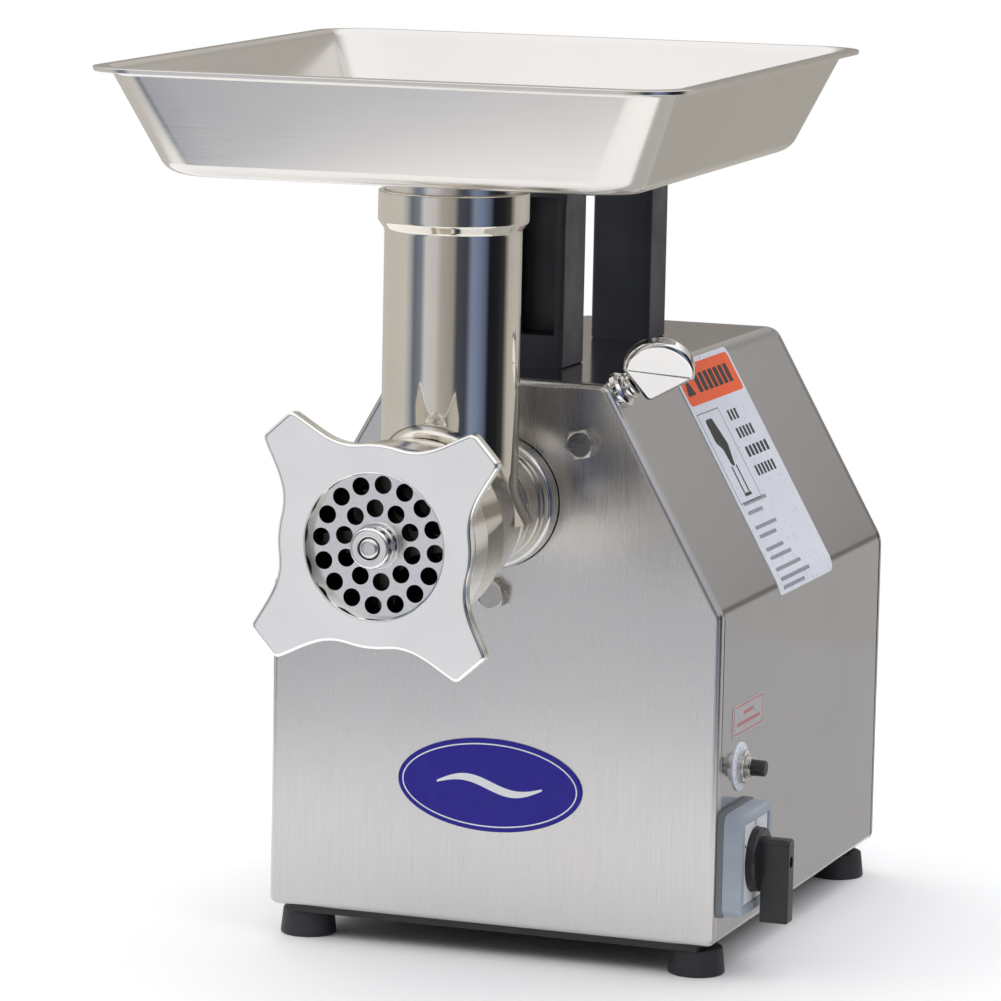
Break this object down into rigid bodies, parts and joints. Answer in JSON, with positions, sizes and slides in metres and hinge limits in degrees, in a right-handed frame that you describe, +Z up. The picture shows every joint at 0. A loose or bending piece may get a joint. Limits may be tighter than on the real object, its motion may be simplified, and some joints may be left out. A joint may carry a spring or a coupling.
{
  "type": "electric meat grinder",
  "caption": "Countertop electric meat grinder: slant-shouldered stainless housing, front grinding head with lobed ring nut, feed tray over the throat, top carrying handle",
  "frame": {"origin": "on the surface the feet stand on, under the middle of the housing's footprint", "axes": "+Z up; the grinding head points along -Y, so -Y is the front; +X is the side with the switch, on the right seen from the front"},
  "size_m": [0.2848, 0.4637, 0.4219],
  "materials": {
    "badge_blue": "plain blue oval",
    "bearing_steel": "ground steel",
    "black_paint": "black powder coat",
    "black_plastic": "moulded black plastic",
    "bracket_steel": "zinc plated",
    "capacitor_case": "drawn aluminium can",
    "copper_wire": "varnished copper windings",
    "fan_plastic": "moulded fan",
    "fastener_steel": "plain stainless fasteners",
    "foot_rubber": "moulded black rubber",
    "front_steel": "satin brushed stainless sheet",
    "gear_steel": "cut steel",
    "gearbox_casting": "as-cast aluminium",
    "head_polished": "mirror-polished stainless",
    "hub_casting": "turned and polished",
    "knob_chrome": "polished chrome",
    "label_clear": "clear vinyl with a red border",
    "label_white": null,
    "lamination_steel": "stacked laminations",
    "motor_paint": "grey enamel",
    "nut_polished": "polished casting",
    "plate_steel": "ground tool steel",
    "screw_casting": "dark cast steel",
    "shell_steel": "brushed stainless sheet",
    "switch_backing": "dark grey moulding",
    "switch_black": "satin black moulding",
    "switch_grey": "blue-grey moulding",
    "tray_steel": "satin stainless pan"
  },
  "bodies": {
    "root": {"front_panel": "front_steel", "housing_shell": "shell_steel", "rear_panel": "shell_steel", "front_frame": "bracket_steel", "rear_frame": "bracket_steel", "base_plate": "black_paint", "feet": "foot_rubber", "foot_screws": "fastener_steel", "rear_screws": "fastener_steel", "carry_handle": "black_plastic", "handle_screws": "fastener_steel", "hub_socket": "hub_casting", "hub_bolts": "fastener_steel", "gearbox_case": "gearbox_casting", "gearbox_screws": "fastener_steel", "gearbox_cover": "gearbox_casting", "output_bearings": "bearing_steel", "idler_bearings": "bearing_steel", "motor_case": "motor_paint", "stator_core": "lamination_steel", "windings": "copper_wire", "motor_end_cap": "gearbox_casting", "motor_bearings": "bearing_steel", "fan_cowl": "motor_paint", "motor_cradle": "bracket_steel", "start_capacitor": "capacitor_case", "capacitor_clip": "bracket_steel", "lock_bush": "knob_chrome", "switch_block": "black_plastic", "switch_plate": "switch_backing", "switch_bezel": "switch_grey", "breaker_body": "black_plastic", "breaker_nut": "bearing_steel", "breaker_plate": "label_white", "badge": "badge_blue", "notice_label": "label_white", "reset_label": "label_clear", "cable_gland": "black_plastic"},
    "rotor": {"motor_shaft": "gear_steel", "rotor_core": "lamination_steel", "cooling_fan": "fan_plastic"},
    "idler": {"idler_gear": "gear_steel", "idler_shaft": "gear_steel"},
    "output": {"output_gear": "gear_steel"},
    "head": {"grinder_head": "head_polished", "cutting_plate": "plate_steel", "plate_pin": "bearing_steel", "plate_bush": "plate_steel"},
    "auger": {"feed_screw": "screw_casting", "auger_shank": "gear_steel", "auger_stud": "bearing_steel", "knife": "screw_casting"},
    "nut": {"ring_nut": "nut_polished"},
    "tray": {"feed_tray": "tray_steel", "tray_spout": "tray_steel"},
    "lock": {"lock_screw": "knob_chrome", "lock_paddle": "knob_chrome"},
    "selector": {"switch_dial": "switch_black", "switch_lever": "switch_black"},
    "button": {"reset_button": "switch_black"}
  },
  "joints": [
    {"name": "motor_spin", "type": "hinge", "parent": "root", "child": "rotor", "pos_m": [0, 0, 0.115], "axis": [0, 1, 0], "continuous": true},
    {"name": "idler_spin", "type": "hinge", "parent": "root", "child": "idler", "pos_m": [0, 0, 0.163], "axis": [0, 1, 0], "continuous": true},
    {"name": "output_spin", "type": "hinge", "parent": "root", "child": "output", "pos_m": [0, 0, 0.217], "axis": [0, 1, 0], "continuous": true},
    {"name": "head_slide", "type": "slide", "parent": "root", "child": "head", "axis": [0, -1, 0], "range_m": [0, 0.06]},
    {"name": "auger_spin", "type": "hinge", "parent": "head", "child": "auger", "pos_m": [0, -0.2, 0.217], "axis": [0, 1, 0], "continuous": true},
    {"name": "ring_nut_turn", "type": "hinge", "parent": "head", "child": "nut", "pos_m": [0, -0.28, 0.217], "axis": [0, -1, 0], "range_deg": [0, 330]},
    {"name": "tray_lift", "type": "slide", "parent": "head", "child": "tray", "axis": [0, 0, 1], "range_m": [0, 0.08]},
    {"name": "lock_turn", "type": "hinge", "parent": "root", "child": "lock", "pos_m": [-0.00935, -0.12, 0.23354], "axis": [0.8704, 0, 0.4923], "range_deg": [0, 300]},
    {"name": "switch_turn", "type": "hinge", "parent": "root", "child": "selector", "pos_m": [0.1105, -0.1065, 0.05425], "axis": [1, 0, 0], "range_deg": [-60, 60]},
    {"name": "reset_press", "type": "slide", "parent": "root", "child": "button", "axis": [-1, 0, 0], "range_m": [0, 0.002], "stiffness_N_per_m": 300}
  ],
  "couplings": [
    {"joint": "idler_spin", "follows": "motor_spin", "ratio": -0.33333},
    {"joint": "output_spin", "follows": "motor_spin", "ratio": 0.11667},
    {"joint": "auger_spin", "follows": "motor_spin", "ratio": 0.11667}
  ]
}
